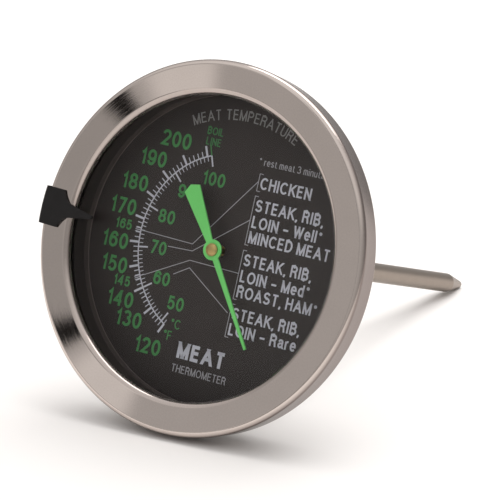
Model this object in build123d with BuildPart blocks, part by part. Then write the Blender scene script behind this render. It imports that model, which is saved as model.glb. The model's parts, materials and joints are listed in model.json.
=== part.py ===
"""Dial meat thermometer, resting on a table on the lower edge of its head and the tip of its stem.

Millimetres. +Z is up and the table is Z = 0. The stem runs towards +Y and down, the dial faces -Y and
a little up, and +X is to the right of someone reading the dial. Every piece is round about the stem
axis or lies on it, so each one is drawn in the tilted frame of the dial: "depth" is measured from the
front face of the bezel along the stem, towards the tip, and "radius" from the stem axis.
"""

import os
from math import acos, asin, atan2, cos, hypot, sin

from build123d import *

# ---------------------------------------------------------------- driving dimensions: head
rim_radius = 35.0  # outside of the bezel, a 70 mm head
face_width = 6.6  # of the bezel's flat front, from the rim in to the window
bezel_sheet = 0.6
shoulder_radius = 1.0  # outer corner of the bezel's front face
inner_lip_radius = 1.2  # inner corner, turned in towards the glass
rim_taper = 0.4  # how much the bezel's side narrows towards the back
curl_radius = 0.5  # rear corner of the bezel, where it folds behind the case
crimp_width = 1.9  # how far the fold reaches in behind the case flange

lens_thickness = 2.4
lens_bevel = 0.2
gasket_front = 0.9
gasket_rear = 0.6
gasket_web = 0.7
gasket_overlap = 2.5  # how far the gasket's two legs grip the glass
gasket_room = 0.3  # between the gasket and the narrow end of the bezel

case_sheet = 0.6
case_flange = 3.25  # from the case wall out to the edge that the bezel folds over
dial_ledge = 1.2  # width of the step that the dial rests on
case_corner = 1.2  # bend between the case wall and its floor
back_room = 2.4  # from the back of the dial to the back of the case
fit_gap = 0.05  # radial gap of each piece that drops into another
flange_gap = 0.15  # case flange inside the bezel

dial_room = 4.7  # from the glass to the dial
dial_thickness = 0.5
dial_hole_gap = 0.6  # dial hole round the spindle
spacer_wall = 0.4
spacer_foot_height = 1.2
spacer_foot_width = 0.3

# ---------------------------------------------------------------- driving dimensions: stem
stem_radius = 2.0
stem_wall = 0.3
stem_end_depth = 109.3  # tip of the stem, from the bezel's face
tip_round = 0.8
cone_length = 6.0  # from the tube's end to the centre of the rounded tip
plug_spigot = 4.0

neck_margin = 1.2  # threaded neck of the collar, outside the stem's radius
spigot_length = 4.0  # of the collar's spigot, which the stem tube is brazed onto
neck_gap = 0.1
collar_ledge = 1.8  # collar flange, outside the neck
collar_flange = 1.2
collar_bevel = 0.3
seal_thickness = 0.5
seal_inset = 0.4  # seal's edge inside the collar's
nut_wall = 1.25
nut_thickness = 1.2

guide_length = 3.0
bush_wall = 0.6  # of the upper guide bush, which sits in the collar
coil_gap = 0.35  # bimetal coil inside the tube
coil_pitch = 3.0
coil_turns = 12
coil_strip = 2.0
coil_strip_thickness = 0.25
coil_end_gap = 0.3
coil_weld = 0.15  # how far the coil's end sinks into its anchor
ferrule_length = 3.0
ferrule_cap = 1.0  # solid end of the ferrule, beyond the spindle
anchor_length = 2.0

# ---------------------------------------------------------------- driving dimensions: moving pieces
spindle_radius = 0.5
running_gap = 0.05  # radial clearance of the spindle in its guides
pointer_height = 2.9  # front of the pointer above the dial
pointer_thickness = 0.3
pointer_margin = 9.95  # from the pointer's end to the edge of the dial
pointer_root_width = 1.25
pointer_tip_width = 0.5
pointer_ring = 0.75  # width of the ring round the hub
tail_reach = 13.3
tail_point = 0.8  # height of the tail's shallow point
tail_width = 3.5
tail_neck_width = 1.4
hub_wall = 0.7
hub_rise = 0.3  # hub above the pointer
hub_flange_width = 0.4
hub_flange = 0.4
hub_length = 1.6

marker_face = 0.5  # plastic over the bezel's front face
marker_side = 0.5
marker_gap = 0.08  # between the marker and the rim that it slides on
marker_width = 7.2
marker_body = 4.0  # length of its wide part, from the rim in
marker_shoulder = 1.0  # how steeply the body narrows to the point
marker_neck_width = 2.4  # of the point, where it leaves the bezel
marker_tip_width = 0.6
marker_overhang = 4.8  # how far the point reaches over the window
marker_hook = 1.4  # how far the rear hook reaches in behind the rim

# ---------------------------------------------------------------- settings at rest
pointer_clock = 148.6  # degrees clockwise from straight up, as read: room temperature
marker_clock = 275.2  # target marker, set on 165 degrees F

# ---------------------------------------------------------------- what follows from them: depths
lens_front = bezel_sheet + gasket_front
lens_back = lens_front + lens_thickness
flange_front = lens_back + gasket_rear
flange_back = flange_front + case_sheet
rim_depth = flange_back + bezel_sheet
dial_depth = lens_back + dial_room
dial_back = dial_depth + dial_thickness
ledge_back = dial_back + case_sheet
case_depth = dial_back + back_room
floor_front = case_depth - case_sheet
pointer_depth = dial_depth - pointer_height
pointer_back = pointer_depth + pointer_thickness
hub_front = pointer_depth - hub_rise

tip_centre = stem_end_depth - tip_round
tube_end = tip_centre - cone_length
plug_face = tube_end - plug_spigot
neck_front = floor_front - nut_thickness
seal_back = case_depth + seal_thickness
collar_back = seal_back + collar_flange
anchor_front = plug_face - anchor_length
coil_length = coil_pitch * (coil_turns - 1)
coil_back = anchor_front - coil_strip / 2 + coil_weld
coil_front = coil_back - coil_length
ferrule_back = coil_front - coil_strip / 2 - coil_end_gap
spindle_back = ferrule_back - ferrule_cap
ferrule_front = ferrule_back - ferrule_length

# ---------------------------------------------------------------- what follows from them: radii
opening_radius = rim_radius - face_width
rim_back_radius = rim_radius - rim_taper
bezel_bore = rim_back_radius - bezel_sheet
gasket_radius = bezel_bore - gasket_room
lens_radius = gasket_radius - gasket_web - fit_gap
flange_radius = bezel_bore - flange_gap
case_radius = flange_radius - case_flange
case_bore = case_radius - case_sheet
ledge_bore = case_bore - dial_ledge
dial_radius = case_bore - fit_gap
spacer_bore = dial_radius - spacer_wall

stem_bore = stem_radius - stem_wall
guide_radius = stem_bore - fit_gap
guide_bore = spindle_radius + running_gap
bush_radius = guide_bore + bush_wall
collar_bore = bush_radius + fit_gap
neck_radius = stem_radius + neck_margin
collar_radius = neck_radius + collar_ledge
coil_outside = stem_bore - coil_gap
coil_radius = coil_outside - coil_strip_thickness / 2
hub_radius = spindle_radius + hub_wall
pointer_reach = dial_radius - pointer_margin
pointer_ring_radius = hub_radius + pointer_ring

curl_centre_radius = rim_back_radius - curl_radius
curl_centre_depth = rim_depth - curl_radius


def lean_on(depth, radius, corner):
    """Lean of the stem at which the rim's fold and another round corner both touch the table."""
    run = depth - curl_centre_depth
    drop = curl_centre_radius - radius
    return atan2(drop, run) + asin((curl_radius - corner) / hypot(run, drop))


# the head rests on the fold of its rim, and the stem on its rounded tip or on the wide end of its cone
lean = min(lean_on(tip_centre, 0, tip_round), lean_on(tube_end, stem_radius, 0))
head_height = curl_centre_depth * sin(lean) + curl_centre_radius * cos(lean) + curl_radius
front_reach = (rim_radius - shoulder_radius) * sin(lean) + shoulder_radius * (1 - cos(lean))
back_reach = tip_centre * cos(lean) + tip_round
marker_reach = marker_gap + marker_side

# ---------------------------------------------------------------- the dial's frame
# local X is to the right of the reader, local Y up the dial, and Z out of the dial to the reader
dial_frame = Plane(
    origin=(marker_reach / 2, (front_reach - back_reach) / 2, head_height),
    x_dir=(1, 0, 0),
    z_dir=(0, -cos(lean), sin(lean)),
)
stem_axis = Axis(dial_frame.origin, dial_frame.z_dir)
# half-section through the stem axis: local X is radius, local Y is minus the depth
section = Plane(origin=dial_frame.origin, x_dir=dial_frame.x_dir, z_dir=-dial_frame.y_dir)


def level(depth):
    """The plane square to the stem at a depth behind the bezel's face."""
    return dial_frame.offset(-depth)


def clock_level(depth, clock):
    """The same plane, turned so that its local Y points to a clock angle on the dial."""
    return Plane(
        origin=level(depth).origin,
        x_dir=dial_frame.x_dir.rotate(stem_axis, -clock),
        z_dir=dial_frame.z_dir,
    )


def turned(*corners):
    """Spin a closed outline of (radius, depth) corners about the stem axis."""
    with BuildSketch(section) as outline:
        with BuildLine():
            Polyline(*[(radius, -depth) for radius, depth in corners], close=True)
        make_face()
    revolve(outline.sketch, axis=stem_axis)


def finish(piece, label):
    """Name a finished piece and write it."""
    piece.part.label = label
    export_step(piece.part, f"parts/{label}.step")


os.makedirs("parts", exist_ok=True)

# ---------------------------------------------------------------- bezel ring
# one strip of sheet: inner lip, flat face, shoulder, tapered side and the fold behind the case
lip_centre = (opening_radius + inner_lip_radius, -inner_lip_radius)
shoulder_centre = (rim_radius - shoulder_radius, -shoulder_radius)
inner_shoulder = shoulder_radius - bezel_sheet
with BuildPart() as bezel_ring:
    with BuildSketch(section) as bezel_outline:
        with BuildLine():
            CenterArc(lip_centre, inner_lip_radius, 180, -90)
            Line((lip_centre[0], 0), (shoulder_centre[0], 0))
            CenterArc(shoulder_centre, shoulder_radius, 90, -90)
            Line((rim_radius, -shoulder_radius), (rim_back_radius, curl_radius - rim_depth))
            CenterArc((curl_centre_radius, -curl_centre_depth), curl_radius, 0, -90)
            Line((curl_centre_radius, -rim_depth), (rim_back_radius - crimp_width, -rim_depth))
            Line((rim_back_radius - crimp_width, -rim_depth), (rim_back_radius - crimp_width, -flange_back))
            Line((rim_back_radius - crimp_width, -flange_back), (rim_back_radius - bezel_sheet, -flange_back))
            Line(
                (rim_back_radius - bezel_sheet, -flange_back),
                (rim_radius - bezel_sheet, -shoulder_radius),
            )
            CenterArc(shoulder_centre, inner_shoulder, 0, 90)
            Line((shoulder_centre[0], -bezel_sheet), (lip_centre[0], -bezel_sheet))
            CenterArc(lip_centre, inner_lip_radius - bezel_sheet, 90, 90)
            Line((opening_radius + bezel_sheet, -inner_lip_radius), (opening_radius, -inner_lip_radius))
        make_face()
    revolve(bezel_outline.sketch, axis=stem_axis)
finish(bezel_ring, "bezel_ring")

# ---------------------------------------------------------------- case back, a stepped pressed dish
ledge_radius = ledge_bore + case_sheet
with BuildPart() as case_back:
    turned(
        (case_bore, flange_front),
        (flange_radius, flange_front),
        (flange_radius, flange_back),
        (case_radius, flange_back),
        (case_radius, ledge_back),
        (ledge_radius, ledge_back),
        (ledge_radius, case_depth - case_corner),
        (ledge_radius - case_corner, case_depth),
        (neck_radius + neck_gap, case_depth),
        (neck_radius + neck_gap, floor_front),
        (ledge_bore - case_corner, floor_front),
        (ledge_bore, floor_front - case_corner),
        (ledge_bore, dial_back),
        (case_bore, dial_back),
    )
finish(case_back, "case_back")

# ---------------------------------------------------------------- glass and its gasket
with BuildPart() as lens:
    with BuildSketch(level(lens_back)):
        Circle(lens_radius)
    extrude(amount=lens_thickness)
    chamfer(lens.edges().filter_by(GeomType.CIRCLE), length=lens_bevel)
finish(lens, "lens")

gasket_grip = lens_radius - gasket_overlap
with BuildPart() as lens_gasket:
    turned(
        (gasket_grip, bezel_sheet),
        (gasket_radius, bezel_sheet),
        (gasket_radius, flange_front),
        (gasket_grip, flange_front),
        (gasket_grip, lens_back),
        (lens_radius + fit_gap, lens_back),
        (lens_radius + fit_gap, lens_front),
        (gasket_grip, lens_front),
    )
finish(lens_gasket, "lens_gasket")

# ---------------------------------------------------------------- dial and the ring that holds it down
with BuildPart() as dial_plate:
    with BuildSketch(level(dial_back)):
        Circle(dial_radius)
        Circle(spindle_radius + dial_hole_gap, mode=Mode.SUBTRACT)
    extrude(amount=dial_thickness)
finish(dial_plate, "dial_plate")

with BuildPart() as dial_spacer_ring:
    turned(
        (spacer_bore, lens_back),
        (dial_radius, lens_back),
        (dial_radius, dial_depth),
        (spacer_bore - spacer_foot_width, dial_depth),
        (spacer_bore, dial_depth - spacer_foot_height),
    )
finish(dial_spacer_ring, "dial_spacer_ring")

# ---------------------------------------------------------------- stem: tube, tip, collar, seal and nut
with BuildPart() as stem_tube:
    with BuildSketch(level(tube_end)):
        Circle(stem_radius)
        Circle(stem_bore, mode=Mode.SUBTRACT)
    extrude(amount=tube_end - collar_back)
finish(stem_tube, "stem_tube")

# the cone is tangent to the rounded end
cone_slope = acos(tip_round / hypot(stem_radius, cone_length)) - atan2(cone_length, stem_radius)
with BuildPart() as stem_tip:
    with BuildSketch(section) as tip_outline:
        with BuildLine():
            tip_point = (tip_round * cos(cone_slope), -tip_centre - tip_round * sin(cone_slope))
            Polyline(
                (0, -stem_end_depth),
                (0, -plug_face),
                (guide_radius, -plug_face),
                (guide_radius, -tube_end),
                (stem_radius, -tube_end),
                tip_point,
            )
            RadiusArc(tip_point, (0, -stem_end_depth), tip_round)
        make_face()
    revolve(tip_outline.sketch, axis=stem_axis)
finish(stem_tip, "stem_tip")

with BuildPart() as stem_collar:
    turned(
        (collar_bore, neck_front),
        (neck_radius, neck_front),
        (neck_radius, seal_back),
        (collar_radius, seal_back),
        (collar_radius, collar_back - collar_bevel),
        (collar_radius - collar_bevel, collar_back),
        (guide_radius, collar_back),
        (guide_radius, collar_back + spigot_length),
        (collar_bore, collar_back + spigot_length),
    )
finish(stem_collar, "stem_collar")

with BuildPart() as collar_seal:
    with BuildSketch(level(seal_back)):
        Circle(collar_radius - seal_inset)
        Circle(neck_radius + neck_gap, mode=Mode.SUBTRACT)
    extrude(amount=seal_thickness)
finish(collar_seal, "collar_seal")

with BuildPart() as collar_nut:
    with BuildSketch(level(floor_front)):
        RegularPolygon(neck_radius + fit_gap + nut_wall, 6, major_radius=False)
        Circle(neck_radius + fit_gap, mode=Mode.SUBTRACT)
    extrude(amount=nut_thickness)
finish(collar_nut, "collar_nut")


# ---------------------------------------------------------------- inside the stem
def guide_bush(front, radius, label):
    """A bush that keeps the spindle central."""
    with BuildPart() as bush:
        with BuildSketch(level(front + guide_length)):
            Circle(radius)
            Circle(guide_bore, mode=Mode.SUBTRACT)
        extrude(amount=guide_length)
    finish(bush, label)


guide_bush(neck_front, bush_radius, "upper_guide_bush")
guide_bush(ferrule_front - guide_length - coil_end_gap, guide_radius, "lower_guide_bush")

# helical bimetal strip, standing on its anchor at the tip end
with BuildPart() as bimetal_coil:
    with BuildLine() as coil_path:
        Helix(
            pitch=coil_pitch,
            height=coil_length,
            radius=coil_radius,
            center=level(coil_back).origin,
            direction=dial_frame.z_dir,
        )
    coil_start = coil_path.line @ 0
    outward = coil_start - level(coil_back).origin
    with BuildSketch(Plane(origin=coil_start, x_dir=outward, z_dir=coil_path.line % 0)) as strip:
        Rectangle(coil_strip_thickness, coil_strip)
    sweep(path=coil_path.line, is_frenet=True)
finish(bimetal_coil, "bimetal_coil")

with BuildPart() as coil_anchor:
    with BuildSketch(level(plug_face)):
        Circle(coil_outside)
    extrude(amount=anchor_length)
finish(coil_anchor, "coil_anchor")

# ---------------------------------------------------------------- what turns with the temperature
with BuildPart() as spindle:
    with BuildSketch(level(spindle_back)):
        Circle(spindle_radius)
    extrude(amount=spindle_back - hub_front)
finish(spindle, "spindle")

with BuildPart() as coil_ferrule:
    turned(
        (0, ferrule_back),
        (0, spindle_back),
        (spindle_radius, spindle_back),
        (spindle_radius, ferrule_front),
        (coil_outside, ferrule_front),
        (coil_outside, ferrule_back),
    )
finish(coil_ferrule, "coil_ferrule")

with BuildPart() as pointer_hub:
    turned(
        (spindle_radius, hub_front),
        (hub_radius, hub_front),
        (hub_radius, pointer_back),
        (hub_radius + hub_flange_width, pointer_back),
        (hub_radius + hub_flange_width, pointer_back + hub_flange),
        (hub_radius, pointer_back + hub_flange),
        (hub_radius, hub_front + hub_length),
        (spindle_radius, hub_front + hub_length),
    )
finish(pointer_hub, "pointer_hub")

# a long tapering arm, a ring round the hub and a wide tail with a shallow point
with BuildPart() as pointer:
    with BuildSketch(clock_level(pointer_back, pointer_clock)):
        with BuildLine():
            Polyline(
                (-pointer_root_width / 2, 0),
                (-pointer_tip_width / 2, pointer_reach),
                (pointer_tip_width / 2, pointer_reach),
                (pointer_root_width / 2, 0),
                close=True,
            )
        make_face()
        with BuildLine():
            Polyline(
                (-tail_neck_width / 2, 0),
                (-tail_neck_width / 2, -pointer_ring_radius),
                (-tail_width / 2, tail_point - tail_reach),
                (0, -tail_reach),
                (tail_width / 2, tail_point - tail_reach),
                (tail_neck_width / 2, -pointer_ring_radius),
                (tail_neck_width / 2, 0),
                close=True,
            )
        make_face()
        Circle(pointer_ring_radius)
        Circle(hub_radius, mode=Mode.SUBTRACT)
    extrude(amount=pointer_thickness)
finish(pointer, "pointer")

# ---------------------------------------------------------------- target marker
# a C-shaped clip: a ring of its section, cut down to the marker's outline
marker_front = -marker_gap - marker_face
marker_bore = rim_radius + marker_gap
marker_radius = marker_bore + marker_side
hook_front = rim_depth + marker_gap
hook_back = hook_front + marker_side
hook_radius = rim_back_radius - marker_hook
marker_inner_radius = rim_radius - marker_body
marker_tip_radius = opening_radius - marker_overhang
marker_half = marker_width / 2
marker_neck_half = marker_neck_width / 2
marker_tip_half = marker_tip_width / 2
with BuildPart() as target_marker:
    turned(
        (marker_tip_radius, marker_front),
        (marker_radius - marker_side, marker_front),
        (marker_radius, marker_front + marker_side),
        (marker_radius, hook_back - marker_side / 2),
        (marker_radius - marker_side / 2, hook_back),
        (hook_radius, hook_back),
        (hook_radius, hook_front),
        (marker_bore, hook_front),
        (marker_bore, -marker_gap),
        (marker_tip_radius, -marker_gap),
    )
    with BuildSketch(clock_level(hook_back, marker_clock)) as marker_outline:
        with BuildLine():
            Polyline(
                (marker_half, marker_inner_radius),
                (marker_half, marker_radius + marker_side),
                (-marker_half, marker_radius + marker_side),
                (-marker_half, marker_inner_radius),
            )
            for side in (1, -1):
                Bezier(
                    (side * marker_half, marker_inner_radius),
                    (side * marker_neck_half, marker_inner_radius - marker_shoulder),
                    (side * marker_neck_half, opening_radius),
                )
                Line(
                    (side * marker_neck_half, opening_radius),
                    (side * marker_tip_half, marker_tip_radius),
                )
            Line((marker_tip_half, marker_tip_radius), (-marker_tip_half, marker_tip_radius))
        make_face()
    extrude(amount=hook_back - marker_front, mode=Mode.INTERSECT)
finish(target_marker, "target_marker")
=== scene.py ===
"""Looks of the dial meat thermometer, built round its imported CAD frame.

Everything on the head is drawn in the dial's own frame, in millimetres: X to the right of someone
reading the dial, Y up the dial, and "depth" behind the bezel's front face, along the stem. The floor,
the light and the camera are placed in metres, in the CAD frame itself.
"""

import json
from math import cos, pi, radians, sin

import bmesh
import bpy
from mathutils import Matrix, Vector


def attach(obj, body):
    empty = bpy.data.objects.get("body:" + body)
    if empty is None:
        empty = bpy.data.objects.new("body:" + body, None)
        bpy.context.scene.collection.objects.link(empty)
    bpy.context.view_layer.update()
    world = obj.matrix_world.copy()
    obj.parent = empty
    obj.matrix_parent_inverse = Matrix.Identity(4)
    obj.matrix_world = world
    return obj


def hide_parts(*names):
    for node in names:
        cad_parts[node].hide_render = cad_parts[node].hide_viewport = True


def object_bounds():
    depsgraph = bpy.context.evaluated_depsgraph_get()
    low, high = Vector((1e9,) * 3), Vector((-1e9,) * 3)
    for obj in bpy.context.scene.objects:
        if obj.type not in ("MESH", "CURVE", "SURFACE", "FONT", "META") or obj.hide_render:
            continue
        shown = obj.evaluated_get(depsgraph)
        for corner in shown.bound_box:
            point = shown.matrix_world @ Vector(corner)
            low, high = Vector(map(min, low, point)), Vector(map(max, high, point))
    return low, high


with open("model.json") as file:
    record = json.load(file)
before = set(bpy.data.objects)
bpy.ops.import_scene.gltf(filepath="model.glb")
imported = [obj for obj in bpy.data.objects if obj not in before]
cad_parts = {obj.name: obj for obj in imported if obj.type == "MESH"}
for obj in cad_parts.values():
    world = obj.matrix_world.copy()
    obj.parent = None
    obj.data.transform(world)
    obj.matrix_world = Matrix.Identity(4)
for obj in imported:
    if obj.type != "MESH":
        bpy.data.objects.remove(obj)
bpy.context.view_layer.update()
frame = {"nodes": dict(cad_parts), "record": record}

scene = bpy.context.scene

# ---------------------------------------------------------------- the dial's frame
hinge = frame["record"]["behaviour"]["joints"][0]
face_centre = Vector(hinge["pos_m"])  # where the stem axis meets the bezel's front face
along = Vector(hinge["axis"]).normalized()  # down the stem
right = Vector((1, 0, 0))
out = -along
up = out.cross(right)
dial = Matrix.Translation(face_centre) @ Matrix((right, up, out)).transposed().to_4x4()
MM = 0.001
dial_mm = dial @ Matrix.Scale(MM, 4)
to_dial = dial_mm.inverted()


def span(node):
    """Front depth, back depth, inner radius and outer radius of a CAD node, in mm."""
    points = [to_dial @ vertex.co for vertex in frame["nodes"][node].data.vertices]
    depths = [-point.z for point in points]
    radii = [point.xy.length for point in points]
    return min(depths), max(depths), min(radii), max(radii)


def on_clock(radius, clock):
    """X and Y of a point on the dial, at degrees clockwise from straight up."""
    return radius * sin(radians(clock)), radius * cos(radians(clock))


dial_depth = span("dial_plate")[0]
hub_depth = span("pointer_hub")[0]
window_radius, bezel_radius = span("bezel_ring")[2:]
SHOULDER_ROUND = 1.0
face_edge = bezel_radius - SHOULDER_ROUND  # where the bezel's face turns over into its side

# ---------------------------------------------------------------- colours
WARM_STEEL = (0.66, 0.58, 0.535)
# painted shade: a darker steel for the bezel's side and inner lip
SHADED_SIDE_STEEL = (0.24, 0.20, 0.185)
DARK_STEEL = (0.31, 0.29, 0.27)
STEM_STEEL = (0.30, 0.25, 0.21)
BRASS = (0.55, 0.40, 0.17)
LUMINOUS_GREEN = (0.175, 0.66, 0.17)
DIAL_GREEN = (0.068, 0.255, 0.082)
DIM_GREEN = (0.055, 0.20, 0.070)
PRINT_WHITE = (0.56, 0.56, 0.63)
LINE_GREY = (0.40, 0.39, 0.42)
PRINT_GREY = (0.27, 0.26, 0.26)
DIAL_BLACK = (0.036, 0.028, 0.027)
PLASTIC_BLACK = (0.011, 0.010, 0.010)
SPACER_BLACK = (0.044, 0.036, 0.034)
RUBBER_BLACK = (0.03, 0.03, 0.03)
PANE_TINT = (0.985, 0.99, 0.985)
FLOOR_TONES = (0.925, 0.895, 0.875), (0.945, 0.915, 0.895)

# ---------------------------------------------------------------- node helpers
COLOUR_A, COLOUR_B, COLOUR_RESULT = 6, 7, 2  # a mix node's colour sockets share their names with others


def shade(colour, factor):
    """A colour made darker or paler."""
    return tuple(channel * factor for channel in colour)


class Shader:
    """A material under construction: short calls for the nodes that it needs."""

    def __init__(self, name):
        self.material = bpy.data.materials.new(name)
        self.material.use_nodes = True
        self.tree = self.material.node_tree
        self.tree.nodes.clear()
        self.output = self.tree.nodes.new("ShaderNodeOutputMaterial")

    def node(self, kind, **inputs):
        """A node, with a value or a link for each input that is named."""
        made = self.tree.nodes.new(kind)
        for name, value in inputs.items():
            self.feed(made.inputs[name.replace("_", " ")], value)
        return made

    def feed(self, socket, value):
        """Link a socket to another node's output, or set its value."""
        if isinstance(value, bpy.types.NodeSocket):
            self.tree.links.new(value, socket)
        elif isinstance(value, tuple) and len(value) == 3 and socket.type == "RGBA":
            socket.default_value = (*value, 1)
        else:
            socket.default_value = value

    def math(self, operation, first, second=0.0):
        made = self.tree.nodes.new("ShaderNodeMath")
        made.operation = operation
        self.feed(made.inputs[0], first)
        self.feed(made.inputs[1], second)
        return made.outputs[0]

    def place(self):
        """Position in the dial's frame, in mm."""
        coordinates = self.node("ShaderNodeTexCoord")
        mapping = self.node("ShaderNodeMapping")
        mapping.vector_type = "TEXTURE"
        mapping.inputs["Location"].default_value = face_centre
        mapping.inputs["Rotation"].default_value = dial.to_euler()
        mapping.inputs["Scale"].default_value = (MM, MM, MM)
        self.feed(mapping.inputs["Vector"], coordinates.outputs["Object"])
        return mapping.outputs["Vector"]

    def polar(self):
        """Radius, angle in turns, and height towards the reader, about the stem axis."""
        parts = self.node("ShaderNodeSeparateXYZ", Vector=self.place())
        x, y, z = parts.outputs
        squares = self.math("ADD", self.math("MULTIPLY", x, x), self.math("MULTIPLY", y, y))
        angle = self.math("DIVIDE", self.math("ARCTAN2", x, y), 2 * pi)
        return self.math("SQRT", squares), angle, z

    def vector(self, x, y, z):
        """A place made from three values."""
        return self.node("ShaderNodeCombineXYZ", X=x, Y=y, Z=z).outputs[0]

    def noise(self, vector, scale, detail=3.0, roughness=0.5):
        """A cloudy value from 0 to 1, about "scale" clouds to the mm."""
        made = self.node("ShaderNodeTexNoise", Vector=vector, Scale=scale, Detail=detail)
        made.inputs["Roughness"].default_value = roughness
        return made.outputs[0]

    def spun_lines(self, radius, angle, height):
        """Fine circular lines about the stem axis."""
        along_line = self.math("MULTIPLY", angle, 3.0)
        return self.noise(self.vector(radius, along_line, height), scale=7.0, detail=2.0)

    def mixed(self, first, second, share):
        """A share of one value, and the rest of another."""
        rest = self.math("MULTIPLY", second, 1 - share)
        return self.math("ADD", self.math("MULTIPLY", first, share), rest)

    def ramp(self, value, low, high, start=0.0, end=1.0):
        """Goes from "low" to "high" as the value goes from "start" to "end"."""
        made = self.node("ShaderNodeMapRange", Value=value)
        made.inputs["From Min"].default_value = start
        made.inputs["From Max"].default_value = end
        made.inputs["To Min"].default_value = low
        made.inputs["To Max"].default_value = high
        return made.outputs[0]

    def around(self, value, middle, spread):
        """A value from 0 to 1 made into one that strays this far to each side of the middle."""
        return self.ramp(value, middle - spread, middle + spread)

    def blend(self, factor, first, second):
        """One colour at 0 and another at 1."""
        made = self.tree.nodes.new("ShaderNodeMix")
        made.data_type = "RGBA"
        self.feed(made.inputs["Factor"], factor)
        self.feed(made.inputs[COLOUR_A], first)
        self.feed(made.inputs[COLOUR_B], second)
        return made.outputs[COLOUR_RESULT]

    def tones(self, value, colour, darkest, palest):
        """Darker and paler shades of a colour."""
        return self.blend(value, shade(colour, darkest), shade(colour, palest))

    def bump(self, height, relief, **under):
        """Relief of this depth, in metres, on the plain surface or on another bump."""
        made = self.node("ShaderNodeBump", Height=height, **under)
        made.inputs["Distance"].default_value = relief
        return made.outputs[0]

    def finish(self, **sockets):
        """The finished material, with a value or a node for each socket that is named."""
        surface = self.node("ShaderNodeBsdfPrincipled")
        for name, value in sockets.items():
            self.feed(surface.inputs[name.replace("_", " ")], value)
        self.feed(self.output.inputs["Surface"], surface.outputs[0])
        return self.material


# ---------------------------------------------------------------- materials
BEZEL_DISH = 0.12  # slope of the bezel's face, in towards the glass
PANE_MIRROR = 0.15  # how much of a bare pane's mirroring the coated glass keeps

POLISH_RELIEF = 0.001 * MM
SPUN_RELIEF = 0.005 * MM
DRAWN_RELIEF = 0.008 * MM
GRAIN_RELIEF = 0.010 * MM


def bright_steel(name, colour, shaded_side_colour):
    """The bezel's polished sheet: its face is dished a little, and its lip and side are rougher and painted
    darker, as painted shade.
    """
    shader = Shader(name)
    radius, angle, height = shader.polar()
    lines = shader.spun_lines(radius, angle, height)
    clouds = shader.noise(shader.place(), scale=0.13)
    fine = shader.noise(shader.place(), scale=3.1, detail=4.0, roughness=0.7)
    worn = shader.mixed(fine, clouds, 0.65)
    # painted shade: the inner lip and the side behind the face take a darker colour, standing in for darker
    # reflections there
    lip = shader.ramp(radius, 0.45, 0.0, start=window_radius + 0.85, end=window_radius + 1.25)
    side = shader.math("MAXIMUM", shader.ramp(height, 0.0, 1.0, start=-0.03, end=-0.6), lip)
    tone = shader.blend(
        side,
        shader.tones(worn, colour, darkest=0.86, palest=1.12),
        shader.tones(worn, shaded_side_colour, darkest=0.85, palest=1.15),
    )
    polish = shader.ramp(fine, 0.02, 0.06)
    gloss = shader.math("ADD", polish, shader.math("MULTIPLY", side, 0.2))
    face = shader.math("MINIMUM", radius, face_edge)
    dish = shader.bump(shader.math("MULTIPLY", face, BEZEL_DISH), MM)
    surface = shader.bump(lines, POLISH_RELIEF, Normal=dish)
    return shader.finish(Base_Color=tone, Metallic=1.0, Roughness=gloss, Normal=surface)


def spun_steel(name, colour, roughness):
    """Sheet steel spun about the stem axis, with fine circular lines."""
    shader = Shader(name)
    lines = shader.spun_lines(*shader.polar())
    clouds = shader.noise(shader.place(), scale=0.16)
    tone = shader.tones(clouds, colour, darkest=0.85, palest=1.15)
    gloss = shader.math("ADD", shader.around(lines, 0.0, 0.06), shader.around(clouds, roughness, 0.04))
    surface = shader.bump(lines, SPUN_RELIEF)
    return shader.finish(Base_Color=tone, Metallic=1.0, Roughness=gloss, Normal=surface)


def drawn_steel(name, colour, roughness):
    """Tube drawn along the stem: fine streaks that run its length."""
    shader = Shader(name)
    radius, angle, height = shader.polar()
    across_streaks = shader.math("MULTIPLY", angle, 60.0)
    along_streaks = shader.math("MULTIPLY", height, 0.05)
    streaks = shader.noise(shader.vector(across_streaks, along_streaks, radius), scale=2.0)
    rings = shader.noise(shader.vector(0.0, 0.0, height), scale=1.4, detail=2.0)
    clouds = shader.noise(shader.place(), scale=0.35)
    tone = shader.tones(shader.mixed(streaks, clouds, 0.7), colour, darkest=0.82, palest=1.12)
    gloss = shader.math("ADD", shader.around(rings, 0.0, 0.03), shader.around(streaks, roughness, 0.07))
    surface = shader.bump(streaks, DRAWN_RELIEF)
    return shader.finish(Base_Color=tone, Metallic=1.0, Roughness=gloss, Normal=surface)


def clear_glass(name):
    """A thin pane: it mirrors a little, more at a slant, and otherwise lets light straight through."""
    shader = Shader(name)
    smudges = shader.noise(shader.place(), scale=0.11, detail=4.0, roughness=0.6)
    fresnel = shader.node("ShaderNodeFresnel", IOR=1.45)
    clear = shader.node("ShaderNodeBsdfTransparent", Color=PANE_TINT)
    mirror = shader.node("ShaderNodeBsdfGlossy", Color=(1.0, 1.0, 1.0))
    shader.feed(mirror.inputs["Roughness"], shader.ramp(smudges, 0.0, 0.05, start=0.35, end=0.75))
    pane = shader.node("ShaderNodeMixShader")
    shader.feed(pane.inputs[0], shader.math("MULTIPLY", fresnel.outputs[0], PANE_MIRROR))
    shader.feed(pane.inputs[1], clear.outputs[0])
    shader.feed(pane.inputs[2], mirror.outputs[0])
    shader.feed(shader.output.inputs["Surface"], pane.outputs[0])
    return shader.material


def lacquer(name, colour, roughness):
    """Matt paint or ink, slightly uneven."""
    shader = Shader(name)
    clouds = shader.noise(shader.place(), scale=0.18)
    tone = shader.tones(clouds, colour, darkest=0.93, palest=1.07)
    gloss = shader.around(shader.noise(shader.place(), scale=0.5, detail=1.0), roughness, 0.06)
    return shader.finish(Base_Color=tone, Roughness=gloss, Specular_IOR_Level=0.3)


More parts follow.
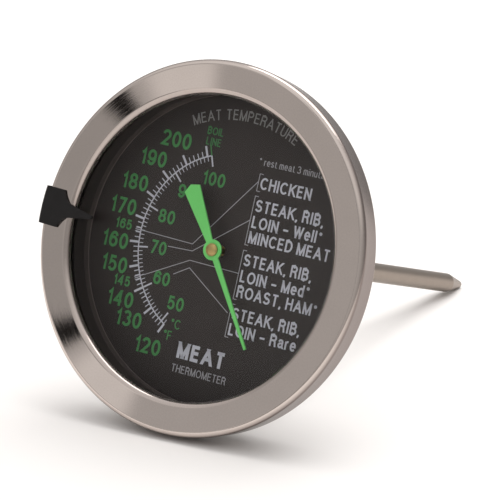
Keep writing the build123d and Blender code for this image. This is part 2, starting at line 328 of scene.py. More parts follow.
def spacer_paint(name, colour):
    """Semi-gloss black round the dial, with painted highlights: paler near the dial, and palest where it sits
    on it.
    """
    shader = Shader(name)
    above_dial = shader.math("ADD", shader.polar()[2], dial_depth)
    specks = shader.noise(shader.place(), scale=2.6, detail=4.0, roughness=0.65)
    # painted highlight: a paler band near the dial and a pale line where the ring sits on it, standing in for
    # light caught there
    foot_highlight = shader.ramp(above_dial, 0.0, 1.0, start=1.35, end=1.15)
    seat_highlight = shader.ramp(above_dial, 0.0, 1.0, start=0.22, end=0.12)
    wall = shader.tones(foot_highlight, colour, darkest=0.9, palest=1.5)
    tone = shader.blend(seat_highlight, wall, shade(colour, 3.5))
    gloss = shader.ramp(specks, 0.3, 0.42)
    return shader.finish(Base_Color=tone, Roughness=gloss, Specular_IOR_Level=0.35)


def moulded(name, colour, roughness):
    """Moulded plastic or rubber with a spark-eroded grain."""
    shader = Shader(name)
    grain = shader.noise(shader.place(), scale=5.5, roughness=0.6)
    clouds = shader.noise(shader.place(), scale=0.5, detail=2.0)
    return shader.finish(
        Base_Color=shader.tones(clouds, colour, darkest=0.75, palest=1.35),
        Roughness=shader.around(grain, roughness, 0.1),
        Specular_IOR_Level=0.2,
        Normal=shader.bump(grain, GRAIN_RELIEF),
    )


def turned_brass(name, colour):
    """Brass turned on a lathe and a little stained."""
    shader = Shader(name)
    radius, _, height = shader.polar()
    rings = shader.noise(shader.vector(radius, 0.0, height), scale=9.0, detail=2.0)
    stains = shader.noise(shader.place(), scale=1.3, detail=4.0, roughness=0.6)
    return shader.finish(
        Base_Color=shader.tones(stains, colour, darkest=0.65, palest=1.25),
        Metallic=1.0,
        Roughness=shader.ramp(stains, 0.28, 0.50),
        Normal=shader.bump(rings, GRAIN_RELIEF),
    )


bezel_steel = bright_steel("bezel_steel", WARM_STEEL, SHADED_SIDE_STEEL)
case_steel = spun_steel("case_steel", DARK_STEEL, 0.30)
stem_steel = drawn_steel("stem_steel", STEM_STEEL, 0.34)
lens_glass = clear_glass("lens_glass")
gasket_rubber = moulded("gasket_rubber", RUBBER_BLACK, 0.75)
dial_black = lacquer("dial_black", DIAL_BLACK, 0.55)
spacer_black = spacer_paint("spacer_black", SPACER_BLACK)
pointer_green = lacquer("pointer_green", LUMINOUS_GREEN, 0.55)
marker_plastic = moulded("marker_plastic", PLASTIC_BLACK, 0.62)
inner_brass = turned_brass("inner_brass", BRASS)
bimetal = drawn_steel("bimetal_strip", DARK_STEEL, 0.4)
ink_green = lacquer("ink_green", DIAL_GREEN, 0.7)
ink_dim = lacquer("ink_dim_green", DIM_GREEN, 0.7)
ink_white = lacquer("ink_white", PRINT_WHITE, 0.7)
ink_line = lacquer("ink_line", LINE_GREY, 0.7)
ink_grey = lacquer("ink_grey", PRINT_GREY, 0.7)

cad_materials = {
    "bezel_ring": bezel_steel,
    "case_back": case_steel,
    "lens": lens_glass,
    "lens_gasket": gasket_rubber,
    "dial_plate": dial_black,
    "dial_spacer_ring": spacer_black,
    "stem_tube": stem_steel,
    "stem_tip": stem_steel,
    "stem_collar": case_steel,
    "collar_seal": gasket_rubber,
    "collar_nut": case_steel,
    "upper_guide_bush": inner_brass,
    "lower_guide_bush": inner_brass,
    "bimetal_coil": bimetal,
    "coil_anchor": stem_steel,
    "spindle": inner_brass,
    "coil_ferrule": inner_brass,
    "pointer_hub": inner_brass,
    "pointer": pointer_green,
    "target_marker": marker_plastic,
}
for node, material in cad_materials.items():
    slots = frame["nodes"][node].data.materials
    slots.clear()
    slots.append(material)
for node in ("case_back", "stem_collar", "stem_tip"):
    # large flat faces keep their own normals, so the rounded corners next to them look smooth
    frame["nodes"][node].modifiers.new("even_normals", "WEIGHTED_NORMAL").weight = 100


# ---------------------------------------------------------------- pieces
WELD_DISTANCE = 0.0001
SHARP_ANGLE = radians(35)


def add_piece(name, mesh, material, body):
    """Put a mesh drawn in the dial's frame in its place."""
    mesh.transform(dial_mm)
    mesh.materials.append(material)
    made = bpy.data.objects.new(name, mesh)
    scene.collection.objects.link(made)
    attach(made, body)
    return made


def lathe(profile, steps):
    """Spin (radius, depth) corners about the stem axis, in so many steps."""
    shape = bmesh.new()
    rings = []
    for radius, depth in profile:
        if radius == 0:
            rings.append([shape.verts.new((0, 0, -depth))] * steps)
            continue
        ring = []
        for step in range(steps):
            turn = 2 * pi * step / steps
            ring.append(shape.verts.new((radius * sin(turn), radius * cos(turn), -depth)))
        rings.append(ring)
    for front, back in zip(rings, rings[1:]):
        for step in range(steps):
            after = (step + 1) % steps
            corners = [front[step], front[after], back[after], back[step]]
            shape.faces.new(list(dict.fromkeys(corners)))
    bmesh.ops.remove_doubles(shape, verts=shape.verts, dist=WELD_DISTANCE)
    bmesh.ops.recalc_face_normals(shape, faces=shape.faces)
    mesh = bpy.data.meshes.new("lathe")
    shape.to_mesh(mesh)
    shape.free()
    return mesh


# ---------------------------------------------------------------- bezel
BEZEL_SHEET = 0.6
LIP_ROUND = 1.2
CURL_ROUND = 0.5
CRIMP_WIDTH = 1.9
SIDE_TAPER = 0.4
SUPPORT = 0.06  # extra edges this near a rounded corner keep the flat faces flat-shaded
CORNER_STEPS = 12
BEZEL_STEPS = 360


def corner(radius, depth, rounding, start, end):
    """Points round a corner of a profile; 0 degrees points outwards and 90 towards the reader."""
    points = []
    for step in range(CORNER_STEPS + 1):
        angle = radians(start + (end - start) * step / CORNER_STEPS)
        points.append((radius + rounding * cos(angle), depth - rounding * sin(angle)))
    return points


def bezel_profile():
    """The bezel's sheet in section: lip, face, shoulder, side and crimp, then back along the inside."""
    front, back, window, rim = span("bezel_ring")
    lip = (window + LIP_ROUND, front + LIP_ROUND)
    shoulder = (rim - SHOULDER_ROUND, front + SHOULDER_ROUND)
    curl = (rim - SIDE_TAPER - CURL_ROUND, back - CURL_ROUND)
    fold = back - BEZEL_SHEET
    return (
        corner(*lip, LIP_ROUND, 180, 90)
        + [(lip[0] + SUPPORT, front), (shoulder[0] - SUPPORT, front)]
        + corner(*shoulder, SHOULDER_ROUND, 90, 0)
        + [(rim - SUPPORT / 10, shoulder[1] + SUPPORT), (curl[0] + CURL_ROUND, curl[1] - SUPPORT)]
        + corner(*curl, CURL_ROUND, 0, -90)
        + [(rim - SIDE_TAPER - CRIMP_WIDTH, back), (rim - SIDE_TAPER - CRIMP_WIDTH, fold)]
        + [(rim - SIDE_TAPER - BEZEL_SHEET, fold)]
        + corner(*shoulder, SHOULDER_ROUND - BEZEL_SHEET, 0, 90)
        + corner(*lip, LIP_ROUND - BEZEL_SHEET, 90, 180)
        + [(window, lip[1])]
    )


def smoothed(mesh):
    """Smooth shading, apart from the edges that turn by more than SHARP_ANGLE."""
    mesh.polygons.foreach_set("use_smooth", [True] * len(mesh.polygons))
    mesh.set_sharp_from_angle(angle=SHARP_ANGLE)
    return mesh


bezel_mesh = smoothed(lathe(bezel_profile(), BEZEL_STEPS))
bezel_shell = add_piece("bezel_shell", bezel_mesh, bezel_steel, "case")
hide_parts("bezel_ring")

# ---------------------------------------------------------------- print on the dial
INK_FRONT = dial_depth - 0.035  # ink stands this little above the lacquer
INK_THICKNESS = 0.03
PRINT_ROLL = radians(3.3)  # the whole print sits turned clockwise on the dial
MITRE_LIMIT = 0.45  # how far a mitre may reach out: half the pen over this


def printed(x, y):
    """A point given across and up the print, as X and Y on the dial."""
    return x * cos(PRINT_ROLL) + y * sin(PRINT_ROLL), y * cos(PRINT_ROLL) - x * sin(PRINT_ROLL)


def add_stroke(shape, points, width, cuts=(None, None)):
    """Add a flat printed stroke of even width to a bmesh, with its corners mitred.

    A direction in "cuts" is the line that the stroke's first or last end is cut along."""
    points = [Vector(point) for point in points]
    closed = (points[0] - points[-1]).length < 1e-6
    if closed:
        points = points[:-1]
    ways = [(after - before).normalized() for before, after in zip(points, points[1:])]
    if closed:
        ways.append((points[0] - points[-1]).normalized())
    rings = []
    for index, point in enumerate(points):
        arriving = ways[index - 1] if index or closed else ways[0]
        leaving = ways[index] if index < len(ways) else ways[-1]
        side = (arriving + leaving).normalized().orthogonal()
        reach = width / 2 / max(side.dot(leaving.orthogonal()), MITRE_LIMIT)
        if not closed and index in (0, len(points) - 1) and cuts[bool(index)] is not None:
            side = cuts[bool(index)]
            reach = width / 2 / side.dot(leaving.orthogonal())
        edges = (point + side * reach, point - side * reach)
        heights = (-INK_FRONT, -INK_FRONT - INK_THICKNESS)
        rings.append([shape.verts.new((*edge, height)) for height in heights for edge in edges])
    links = list(zip(rings, rings[1:])) + ([(rings[-1], rings[0])] if closed else [])
    for near, far in links:
        for first, second in ((0, 1), (1, 3), (3, 2), (2, 0)):
            shape.faces.new((near[first], near[second], far[second], far[first]))
    if not closed:
        for end in (rings[0], rings[-1]):
            shape.faces.new((end[0], end[1], end[3], end[2]))


ARC_STEP = 18  # degrees


def arc(x, y, across, high, start, end):
    """Points on part of an ellipse, anticlockwise angles in degrees from the right."""
    steps = max(3, round(abs(end - start) / ARC_STEP))
    angles = [radians(start + (end - start) * step / steps) for step in range(steps + 1)]
    return [(x + across * cos(angle), y + high * sin(angle)) for angle in angles]


# plain sans-serif letters: the width of each, and the middle lines of its strokes, on a cap height of 1
GLYPHS = {
    "0": (0.56, [arc(0.28, 0.5, 0.28, 0.5, 0, 360)]),
    "1": (0.30, [[(0.02, 0.76), (0.18, 0.82), (0.28, 1), (0.28, 0)]]),
    "2": (0.54, [arc(0.27, 0.72, 0.27, 0.28, 170, -35) + [(0, 0), (0.55, 0)]]),
    "3": (0.54, [arc(0.26, 0.77, 0.24, 0.23, 160, -90), arc(0.26, 0.27, 0.28, 0.27, 90, -160)]),
    "4": (0.58, [[(0.42, 0), (0.42, 1)], [(0.42, 1), (0, 0.27), (0.58, 0.27)]]),
    "5": (0.54, [[(0.50, 1), (0.09, 1), (0.03, 0.50)] + arc(0.26, 0.33, 0.28, 0.33, 128, -155)]),
    "6": (0.56, [arc(0.28, 0.32, 0.28, 0.32, 0, 360), [(0, 0.34)] + arc(0.30, 0.52, 0.30, 0.48, 175, 30)]),
    "7": (0.54, [[(0, 1), (0.54, 1), (0.20, 0)]]),
    "8": (0.56, [arc(0.28, 0.76, 0.24, 0.24, 0, 360), arc(0.28, 0.26, 0.28, 0.26, 0, 360)]),
    "9": (
        0.56,
        [arc(0.28, 0.68, 0.28, 0.32, 0, 360), [(0.56, 0.66)] + arc(0.26, 0.48, 0.30, 0.48, -5, -150)],
    ),
    "A": (0.68, [[(0, 0), (0.34, 1)], [(0.34, 1), (0.68, 0)], [(0.12, 0.31), (0.56, 0.31)]]),
    "B": (
        0.56,
        [
            [(0.30, 0.53), (0, 0.53), (0, 1), (0.30, 1)] + arc(0.30, 0.765, 0.22, 0.235, 90, -90),
            [(0, 0.53), (0, 0), (0.30, 0)] + arc(0.30, 0.265, 0.26, 0.265, -90, 90),
        ],
    ),
    "C": (0.66, [arc(0.36, 0.5, 0.36, 0.5, 42, 318)]),
    "D": (0.62, [[(0.25, 0), (0, 0), (0, 1), (0.25, 1)] + arc(0.25, 0.5, 0.37, 0.5, 90, -90)]),
    "E": (0.50, [[(0.51, 1), (0, 1), (0, 0), (0.52, 0)], [(0, 0.53), (0.47, 0.53)]]),
    "F": (0.48, [[(0.50, 1), (0, 1), (0, 0)], [(0, 0.51), (0.43, 0.51)]]),
    "G": (0.70, [arc(0.36, 0.5, 0.36, 0.5, 42, 325) + [(0.70, 0.24), (0.70, 0.46), (0.40, 0.46)]]),
    "H": (0.57, [[(0, 0), (0, 1)], [(0.57, 0), (0.57, 1)], [(0, 0.53), (0.57, 0.53)]]),
    "I": (0.0, [[(0, 0), (0, 1)]]),
    "K": (0.57, [[(0, 0), (0, 1)], [(0.54, 1), (0, 0.38)], [(0.19, 0.60), (0.57, 0)]]),
    "L": (0.45, [[(0, 1), (0, 0), (0.46, 0)]]),
    "M": (0.72, [[(0, 0), (0, 1)], [(0, 1), (0.36, 0)], [(0.36, 0), (0.72, 1)], [(0.72, 1), (0.72, 0)]]),
    "N": (0.57, [[(0, 0), (0, 1)], [(0, 1), (0.57, 0)], [(0.57, 0), (0.57, 1)]]),
    "O": (0.74, [arc(0.37, 0.5, 0.37, 0.5, 0, 360)]),
    "P": (0.55, [[(0, 0), (0, 1), (0.30, 1)] + arc(0.30, 0.74, 0.24, 0.26, 90, -90) + [(0, 0.48)]]),
    "R": (
        0.58,
        [
            [(0, 0), (0, 1), (0.32, 1)] + arc(0.32, 0.755, 0.23, 0.245, 90, -90) + [(0, 0.51)],
            [(0.34, 0.51), (0.47, 0.40), (0.54, 0)],
        ],
    ),
    "S": (0.58, [arc(0.29, 0.75, 0.26, 0.25, 20, 270) + arc(0.29, 0.25, 0.29, 0.25, 90, -160)]),
    "T": (0.58, [[(0, 1), (0.58, 1)], [(0.29, 1), (0.29, 0)]]),
    "U": (0.56, [[(0, 1)] + arc(0.28, 0.28, 0.28, 0.28, 180, 360) + [(0.56, 1)]]),
    "W": (
        0.90,
        [[(0, 1), (0.22, 0)], [(0.22, 0), (0.45, 1)], [(0.45, 1), (0.68, 0)], [(0.68, 0), (0.90, 1)]],
    ),
    "a": (
        0.44,
        [
            [(0.02, 0.54)] + arc(0.21, 0.53, 0.19, 0.19, 150, 0) + [(0.40, 0.10), (0.46, 0)],
            [(0.40, 0.42)] + arc(0.19, 0.20, 0.19, 0.20, 90, 270) + [(0.40, 0.14)],
        ],
    ),
    "d": (0.46, [arc(0.23, 0.36, 0.23, 0.36, 0, 360), [(0.46, 0), (0.46, 1)]]),
    "e": (0.46, [[(0, 0.37), (0.46, 0.37)] + arc(0.23, 0.36, 0.23, 0.36, 10, 320)]),
    "i": (0.0, [[(0, 0), (0, 0.72)], [(0, 0.90), (0, 1.02)]]),
    "l": (0.0, [[(0, 0), (0, 1)]]),
    "m": (
        0.66,
        [
            [(0, 0), (0, 0.72)],
            [(0, 0.48)] + arc(0.165, 0.52, 0.165, 0.20, 180, 0) + [(0.33, 0)],
            [(0.33, 0.48)] + arc(0.495, 0.52, 0.165, 0.20, 180, 0) + [(0.66, 0)],
        ],
    ),
    "n": (0.42, [[(0, 0), (0, 0.72)], [(0, 0.46)] + arc(0.21, 0.51, 0.21, 0.21, 180, 0) + [(0.42, 0)]]),
    "r": (0.24, [[(0, 0), (0, 0.72)], [(0, 0.42)] + arc(0.24, 0.46, 0.24, 0.26, 170, 88)]),
    "s": (0.40, [arc(0.20, 0.54, 0.18, 0.18, 20, 270) + arc(0.20, 0.18, 0.20, 0.18, 90, -160)]),
    "t": (0.24, [[(0.10, 0.92), (0.10, 0.10), (0.24, 0)], [(0, 0.70), (0.25, 0.70)]]),
    "u": (
        0.42,
        [
            [(0, 0.72)] + arc(0.21, 0.21, 0.21, 0.21, 180, 360) + [(0.42, 0.72)],
            [(0.42, 0.3), (0.42, 0)],
        ],
    ),
    ",": (0.02, [[(0.02, 0.05), (0.02, -0.08), (-0.06, -0.24)]]),
    "–": (0.54, [[(0, 0.40), (0.54, 0.40)]]),
    "*": (0.30, [[(0.15, 0.70), (0.15, 1.02)], [(0.01, 0.78), (0.29, 0.94)], [(0.01, 0.94), (0.29, 0.78)]]),
    "°": (0.24, [arc(0.12, 0.88, 0.12, 0.12, 0, 360)]),
}
LETTER_GAP = 0.13  # between letters, as a share of the cap height
WORD_GAP = 0.30
STEEP = 0.5  # strokes at least this upright are cut level where they end on the baseline or the cap line


def word(text, cap, x, y, turn=0.0, align=0.5, stroke=0.16, squeeze=1.0):
    """Strokes of a line of lettering, as add_print takes them.

    The line's baseline passes through x and y on the dial, at the share "align" of its length. The pen
    is the share "stroke" of the cap height, and "squeeze" is how wide the letters are."""
    pen = cap * stroke
    tall = cap - pen
    reach = 0.0
    letters = []
    for letter in text:
        if letter == " ":
            reach += WORD_GAP * cap * squeeze
            continue
        width, strokes = GLYPHS[letter]
        letters.append((reach + pen / 2, strokes))
        reach += width * tall * squeeze + pen + LETTER_GAP * cap * squeeze
    reach -= LETTER_GAP * cap * squeeze
    angle = PRINT_ROLL + turn
    level = Vector((cos(angle), -sin(angle)))
    upright = Vector((sin(angle), cos(angle)))
    base = Vector((x, y)) - level * reach * align
    marks = []
    for start, strokes in letters:
        for points in strokes:
            flat = [
                Vector((start + across * tall * squeeze, pen / 2 + high * tall))
                for across, high in points
            ]
            cuts = [None, None]
            for end, beyond, high in ((0, 1, points[0][1]), (-1, -2, points[-1][1])):
                way = (flat[end] - flat[beyond]).normalized()
                if high in (0, 1) and abs(way.y) > STEEP and flat[0] != flat[-1]:
                    flat[end] = flat[end] + way * pen / 2 / abs(way.y)
                    cuts[end] = level if (way.y > 0) == (end == 0) else -level
            marks.append(([base + level * point.x + upright * point.y for point in flat], pen, cuts))
    return marks


def path(points, width):
    """One stroke through some points of the dial, with square ends."""
    return [(points, width, (None, None))]


def add_print(name, marks, ink):
    """One print of several strokes, each its points, its width and how its ends are cut."""
    shape = bmesh.new()
    for points, width, cuts in marks:
        add_stroke(shape, points, width, cuts)
    bmesh.ops.recalc_face_normals(shape, faces=shape.faces)
    mesh = bpy.data.meshes.new("print")
    shape.to_mesh(mesh)
    shape.free()
    return add_piece(name, mesh, ink, "case")


SCALE_FROM, SCALE_TO = 120, 212  # degrees F
CELSIUS_FROM, CELSIUS_TO = 49, 100
MEAT_MARKS = (145, 165)  # degrees F with a small numeral and a threefold mark of their own
SCALE_RADIUS = 18.07
SCALE_LINE = 0.24
SCALE_STEPS = 120
FAHRENHEIT_TICKS = ((1.1, 0.18), (2.05, 0.42))  # length and width, between the tens and at them
CELSIUS_TICKS = ((0.95, 0.14), (2.1, 0.30))
MEAT_TICK = (1.25, 0.12)
MEAT_TICK_STEP = 0.7  # degrees F
BOIL_TICK = (2.1, 0.22)
FAHRENHEIT_NUMERAL = (3.05, 23.5)  # cap height, and the radius that it stands at
MEAT_NUMERAL = (1.95, 22.2)
CELSIUS_NUMERAL = (2.6, 13.6)
NUDGES = {170: 2.0, 150: 2.8, 130: 3.0}  # numerals moved along to make room for the small 165 and 145
MEAT_NUDGE = 1.0
NUMERAL_PEN = 0.17
THIN_PEN = 0.12

SCALE_START = 211.8  # degrees on the clock at the lowest mark
SCALE_RATE = 1.343  # degrees on the clock for each degree F there
SCALE_GROWTH = 0.000938  # the marks spread a little towards the hot end


def scale_clock(fahrenheit):
    """Where a temperature stands on the dial."""
    above = fahrenheit - SCALE_FROM
    return SCALE_START + SCALE_RATE * above + SCALE_GROWTH * above**2


def fahrenheit_of(celsius):
    return celsius * 9 / 5 + 32


def tick(fahrenheit, length, width):
    """A mark outwards from the scale's line, or inwards where its length is negative."""
    clock = scale_clock(fahrenheit)
    return path([on_clock(SCALE_RADIUS, clock), on_clock(SCALE_RADIUS + length, clock)], width)


def scale_ticks():
    """Both scales' marks, and the line between them."""
    marks = []
    for fahrenheit in range(SCALE_FROM, SCALE_TO, 2):
        marks += tick(fahrenheit, *FAHRENHEIT_TICKS[fahrenheit % 10 == 0])
    for celsius in range(CELSIUS_FROM, CELSIUS_TO + 1):
        length, width = CELSIUS_TICKS[celsius % 10 == 0]
        marks += tick(fahrenheit_of(celsius), -length, width)
    for middle in MEAT_MARKS:
        for step in (-MEAT_TICK_STEP, 0.0, MEAT_TICK_STEP):
            marks += tick(middle + step, *MEAT_TICK)
    curve = []
    for step in range(SCALE_STEPS + 1):
        fahrenheit = SCALE_FROM + (SCALE_TO - SCALE_FROM) * step / SCALE_STEPS
        curve.append(on_clock(SCALE_RADIUS, scale_clock(fahrenheit)))
    return marks + path(curve, SCALE_LINE)


def number(value, cap, radius, clock):
    """A numeral centred on a place of the dial."""
    x, y = on_clock(radius, clock)
    drop = cap / 2
    return word(str(value), cap, x - drop * sin(PRINT_ROLL), y - drop * cos(PRINT_ROLL), stroke=NUMERAL_PEN)


def scale_numerals():
    """Both scales' numerals, and their units."""
    marks = []
    for value in range(SCALE_FROM, SCALE_TO - 10, 10):
        marks += number(value, *FAHRENHEIT_NUMERAL, scale_clock(value) + NUDGES.get(value, 0))
    for value in MEAT_MARKS:
        marks += number(value, *MEAT_NUMERAL, scale_clock(value) + MEAT_NUDGE)
    for value in range(50, CELSIUS_TO + 1, 10):
        marks += number(value, *CELSIUS_NUMERAL, scale_clock(fahrenheit_of(value)))
    marks += word("°C", cap=1.8, x=-7.0, y=-15.9, stroke=THIN_PEN)
    return marks + word("°F", cap=1.8, x=-8.4, y=-18.2, stroke=THIN_PEN)


SPACE_ADVANCE = 0.45  # round the dial's edge, as shares of the cap height
LETTER_ADVANCE = 0.30  # added to the letter's own width


def edge_words(text, cap, radius, first_clock, last_clock):
    """Lettering set round the dial's edge, one letter at a time."""
    advance = [
        SPACE_ADVANCE if letter == " " else GLYPHS[letter][0] + LETTER_ADVANCE for letter in text
    ]
    total = sum(advance) - (advance[0] + advance[-1]) / 2
    done = 0.0
    marks = []
    for index, letter in enumerate(text):
        if index:
            done += (advance[index - 1] + advance[index]) / 2
        clock = first_clock + (last_clock - first_clock) * done / total
        x, y = on_clock(radius, clock)
        if letter != " ":
            marks += word(letter, cap, x, y, radians(clock) - PRINT_ROLL, stroke=THIN_PEN)
    return marks


LABEL_GROUPS = (  # baselines up the print, with the words on each
    ((12.9, "CHICKEN"),),
    ((8.7, "STEAK, RIB,"), (5.6, "LOIN – Well*"), (2.7, "MINCED MEAT")),
    ((-1.6, "STEAK, RIB,"), (-4.7, "LOIN – Med*"), (-7.6, "ROAST, HAM*")),
    ((-11.8, "STEAK, RIB,"), (-14.8, "LOIN – Rare")),
)
LABEL_CAP = 2.25
LABEL_SQUEEZE = 1.02
LABEL_LEFT = 5.45
BRACKET_LEFT = 4.95
BRACKET_ARM = 0.75
BRACKET_RISE = 0.55  # over the capitals of the first line
BRACKET_DROP = 0.45  # under the last baseline
FINE_LINE = 0.13


def label_words():
    """The meats, beside their brackets."""
    marks = []
    for group in LABEL_GROUPS:
        for baseline, text in group:
            x, y = printed(LABEL_LEFT, baseline)
            marks += word(text, LABEL_CAP, x, y, align=0.0, squeeze=LABEL_SQUEEZE)
    return marks


def label_brackets():
    """A bracket left of each group of words."""
    marks = []
    for group in LABEL_GROUPS:
        top = group[0][0] + LABEL_CAP + BRACKET_RISE
        bottom = group[-1][0] - BRACKET_DROP
        corners = (
            (BRACKET_LEFT + BRACKET_ARM, top),
            (BRACKET_LEFT, top),
            (BRACKET_LEFT, bottom),
            (BRACKET_LEFT + BRACKET_ARM, bottom),
        )
        marks += path([printed(*point) for point in corners], FINE_LINE)
    return marks


def leader_lines():
    """From temperatures on the scale to the words that they are for."""
    routes = (
        ((-17.7, 1.3), (-6.2, 0.4), (5.8, 14.0)),
        ((-11.5, -0.8), (-6.0, -0.9), (5.3, 6.6)),
        ((-15.7, -6.9), (-6.2, -2.7), (4.7, -3.5)),
        ((-9.3, -5.8), (-6.0, -4.1), (3.8, -11.1)),
    )
    marks = []
    for route in routes:
        marks += path(route, FINE_LINE)
    return marks


boil_words = word("BOIL", cap=1.45, x=-5.2, y=21.2, stroke=0.14)
boil_words += word("LINE", cap=1.45, x=-5.3, y=19.2, stroke=0.14)
edge_marks = edge_words("MEAT TEMPERATURE", cap=2.0, radius=24.6, first_clock=337.5, last_clock=388.3)
note_x, note_y = printed(4.2, 17.3)
note_words = word("* rest meat 3 minutes", cap=1.35, x=note_x, y=note_y, align=0.0, stroke=THIN_PEN)
title_word = word("MEAT", cap=3.1, x=-0.4, y=-21.4, stroke=0.21, squeeze=1.1)
subtitle_word = word("THERMOMETER", cap=1.45, x=-0.3, y=-24.1, stroke=THIN_PEN)

add_print("scale_ticks", scale_ticks(), ink_white)
add_print("scale_numerals", scale_numerals(), ink_green)
add_print("boil_words", boil_words, ink_dim)
add_print("boil_tick", tick(SCALE_TO, *BOIL_TICK), ink_green)
add_print("edge_words", edge_marks, ink_grey)
add_print("note_words", note_words, ink_line)
add_print("label_words", label_words(), ink_white)
add_print("label_brackets", label_brackets(), ink_line)
add_print("leader_lines", leader_lines(), ink_line)
add_print("title_word", title_word, ink_white)
add_print("subtitle_word", subtitle_word, ink_line)

# ---------------------------------------------------------------- spindle's riveted end
RIVET_RADIUS = 1.1
RIVET_DOME = ((0, 0.28), (0.45, 0.25), (0.8, 0.14))  # share of the radius, and height over the hub
RIVET_SINK = 0.02  # its foot is this far inside the hub
RIVET_STEPS = 64

rivet_foot = hub_depth + RIVET_SINK
rivet_profile = [(RIVET_RADIUS * share, hub_depth - height) for share, height in RIVET_DOME]
rivet_profile += [(RIVET_RADIUS, rivet_foot), (0, rivet_foot)]
rivet = smoothed(lathe(rivet_profile, RIVET_STEPS))
add_piece("spindle_rivet", rivet, inner_brass, "needle")

# ---------------------------------------------------------------- floor, light and camera
low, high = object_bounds()
length = high.y - low.y
middle = (low + high) / 2

FLOOR_REACH = 3.0
FLOOR_GRAIN = 0.02  # clouds to the mm

LIGHT_PLACE = (0.04, 0.32, 0.87)
LIGHT_SIZE = (0.8, 0.8)
LIGHT_POWER = 5.5

GAP_AZIMUTH = radians(24.7)  # to the left of the dial's front
FOLD_AZIMUTH = radians(28.8)
SHADED_AZIMUTH = radians(21.3)
STRIPS_FADE = (0.45, 0.6)  # the strips end between these heights
TENT_TONES = (  # the tent's tone in a direction, by its height: 0 is level and 1 straight up
    (0.0, (0.5, 0.49, 0.48)),
    (0.42, (0.50, 0.495, 0.49)),
    (0.62, (0.85, 0.8415, 0.833)),
    (1.0, (1.1, 1.1, 1.1)),
)

CAMERA_AZIMUTH = radians(31.98)
CAMERA_ELEVATION = radians(16.31)
CAMERA_DISTANCE = 0.5688
CAMERA_LENS = 216  # mm
CAMERA_SENSOR = 36
AIM_BACK = 0.256  # from the object's front, as a share of its length
AIM_UP = 0.4358  # as a share of its height


def floor():
    """A pale sheet of paper."""
    shape = bmesh.new()
    bmesh.ops.create_grid(shape, x_segments=2, y_segments=2, size=FLOOR_REACH)
    mesh = bpy.data.meshes.new("floor")
    shape.to_mesh(mesh)
    shape.free()
    made = bpy.data.objects.new("floor", mesh)
    scene.collection.objects.link(made)
    shader = Shader("floor")
    tone = shader.blend(shader.noise(shader.place(), FLOOR_GRAIN), *FLOOR_TONES)
    mesh.materials.append(shader.finish(Base_Color=tone, Roughness=0.9, Specular_IOR_Level=0.1))


def overhead_light():
    """A soft box over and behind the object, turned towards its middle."""
    light = bpy.data.lights.new("overhead", "AREA")
    light.shape = "RECTANGLE"
    light.size, light.size_y = LIGHT_SIZE
    light.energy = LIGHT_POWER
    made = bpy.data.objects.new("overhead", light)
    made.location = LIGHT_PLACE
    made.rotation_euler = (middle - Vector(LIGHT_PLACE)).to_track_quat("-Z", "Y").to_euler()
    scene.collection.objects.link(made)


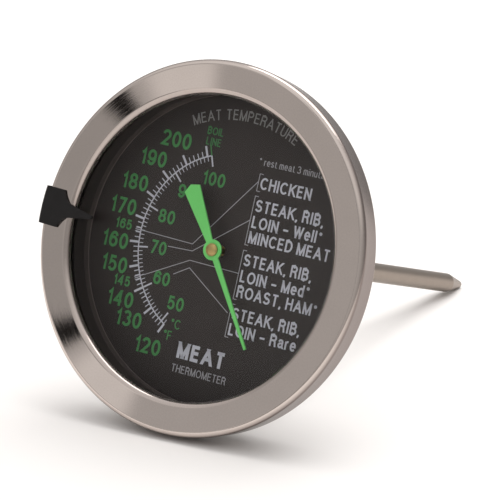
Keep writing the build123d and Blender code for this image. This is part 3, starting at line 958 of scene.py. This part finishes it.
def studio():
    """A tent of grey cloth, brighter overhead, with a dark gap, a pale fold and a shaded strip in front."""
    world = bpy.data.worlds.new("studio")
    world.use_nodes = True
    tree = world.node_tree

    def node(kind, operation=None):
        made = tree.nodes.new(kind)
        if operation:
            made.operation = operation
        return made

    def ranged(value, start, end, low_value, high_value):
        """Goes smoothly from one value to the other."""
        made = node("ShaderNodeMapRange")
        made.interpolation_type = "SMOOTHSTEP"
        settings = {"From Min": start, "From Max": end, "To Min": low_value, "To Max": high_value}
        for name, setting in settings.items():
            made.inputs[name].default_value = setting
        tree.links.new(value, made.inputs["Value"])
        return made.outputs[0]

    def multiplied(first, second):
        made = node("ShaderNodeMath", "MULTIPLY")
        tree.links.new(first, made.inputs[0])
        tree.links.new(second, made.inputs[1])
        return made.outputs[0]

    way = node("ShaderNodeTexCoord").outputs["Generated"]
    split = node("ShaderNodeSeparateXYZ")
    tree.links.new(way, split.inputs[0])
    forward = ranged(split.outputs["Y"], 0.0, 0.02, 1.0, 0.0)
    in_front = multiplied(forward, ranged(split.outputs["Z"], *STRIPS_FADE, 1.0, 0.0))

    def strip(azimuth, half_width, soft, strength):
        """1, changing to "strength" in an upright strip in front, at an azimuth left of the dial's front."""
        across = node("ShaderNodeVectorMath", "DOT_PRODUCT")
        across.inputs[1].default_value = (-cos(azimuth), sin(azimuth), 0)
        tree.links.new(way, across.inputs[0])
        aside = node("ShaderNodeMath", "ABSOLUTE")
        tree.links.new(across.outputs["Value"], aside.inputs[0])
        inside = multiplied(ranged(aside.outputs[0], half_width, half_width + soft, 1.0, 0.0), in_front)
        return ranged(inside, 0.0, 1.0, 1.0, strength)

    ramp = node("ShaderNodeValToRGB")
    stops = ramp.color_ramp.elements
    for position, _ in TENT_TONES[1:-1]:
        stops.new(position)
    for stop, (position, tone) in zip(stops, TENT_TONES):
        stop.position = position
        stop.color = (*tone, 1)
    tree.links.new(split.outputs["Z"], ramp.inputs[0])
    gap = strip(GAP_AZIMUTH, half_width=0.006, soft=0.010, strength=0.0)
    fold = strip(FOLD_AZIMUTH, half_width=0.02, soft=0.04, strength=1.6)
    shaded_side = strip(SHADED_AZIMUTH, half_width=0.03, soft=0.03, strength=0.82)
    shaded = node("ShaderNodeVectorMath", "SCALE")
    tree.links.new(ramp.outputs[0], shaded.inputs[0])
    tree.links.new(multiplied(multiplied(gap, fold), shaded_side), shaded.inputs["Scale"])
    tree.links.new(shaded.outputs[0], tree.nodes["Background"].inputs["Color"])
    scene.world = world


def camera():
    """A long lens, from the right of the dial's front and a little above."""
    aim = Vector((face_centre.x, low.y + AIM_BACK * length, AIM_UP * high.z))
    level = Vector((sin(CAMERA_AZIMUTH), -cos(CAMERA_AZIMUTH), 0))
    towards = level * cos(CAMERA_ELEVATION) + Vector((0, 0, sin(CAMERA_ELEVATION)))
    lens = bpy.data.cameras.new("camera")
    lens.lens = CAMERA_LENS
    lens.sensor_width = CAMERA_SENSOR
    lens.clip_start = 0.01
    made = bpy.data.objects.new("camera", lens)
    made.location = aim + towards * CAMERA_DISTANCE
    made.rotation_euler = (-towards).to_track_quat("-Z", "Y").to_euler()
    scene.collection.objects.link(made)
    scene.camera = made


floor()
studio()
overhead_light()
camera()
scene.view_settings.view_transform = "Standard"
